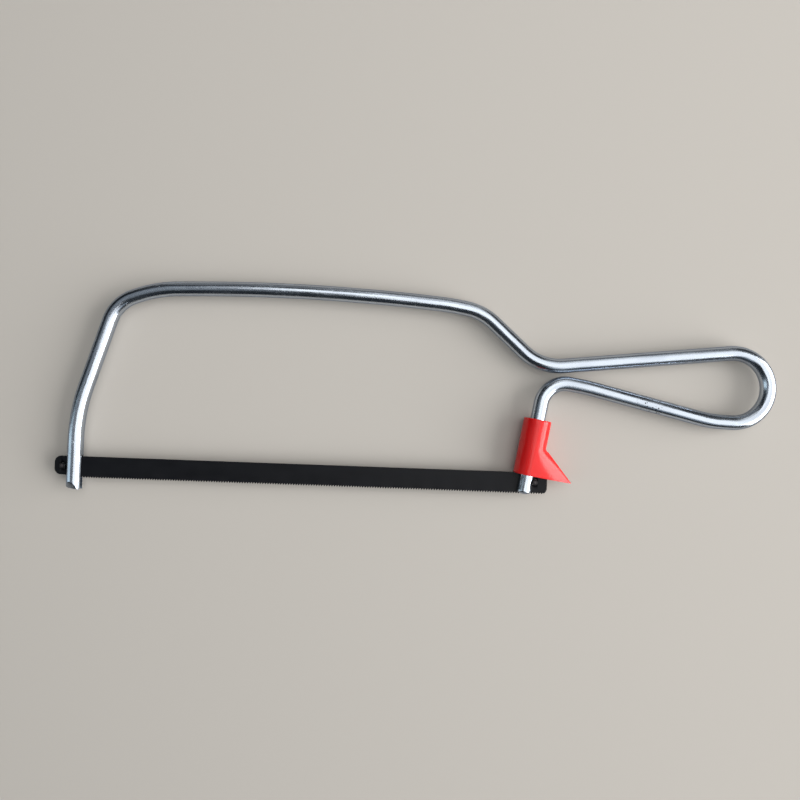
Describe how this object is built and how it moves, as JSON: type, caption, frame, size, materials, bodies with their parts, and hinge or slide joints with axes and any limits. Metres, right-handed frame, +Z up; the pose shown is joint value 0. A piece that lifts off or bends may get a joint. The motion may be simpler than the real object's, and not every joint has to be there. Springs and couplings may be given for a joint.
{
  "type": "mini hacksaw",
  "caption": "Small hand hacksaw: one bent round steel rod forms bow and loop handle, a pinned fine-toothed blade is held in its slit ends, and a moulded finger guard slides on the rear leg.",
  "frame": {"origin": "middle of the base of the bounding box, the saw lying flat on its side", "axes": "+X along the blade towards the handle, +Y from the teeth towards the top bar, +Z up, square to the saw's plane"},
  "size_m": [0.2226, 0.0664, 0.0085],
  "materials": {
    "plated_steel": "bright plated, faint draw lines and pits",
    "black_paint": "black paint, satin",
    "pin_steel": "blackened steel, ends rubbed bare",
    "red_plastic": "glossy moulded plastic"
  },
  "bodies": {
    "frame": {"frame": "plated_steel"},
    "blade": {"blade": "black_paint", "front_pin": "pin_steel", "rear_pin": "pin_steel"},
    "guard": {"finger_guard": "red_plastic"}
  },
  "joints": [
    {"name": "blade_release", "type": "hinge", "parent": "frame", "child": "blade", "pos_m": [-0.10865, -0.02564, 0.00424], "axis": [0, 0, -1], "range_deg": [0, 90]},
    {"name": "guard_slide", "type": "slide", "parent": "frame", "child": "guard", "axis": [0.1633, 0.9866, 0], "range_m": [0, 0.0049]}
  ]
}
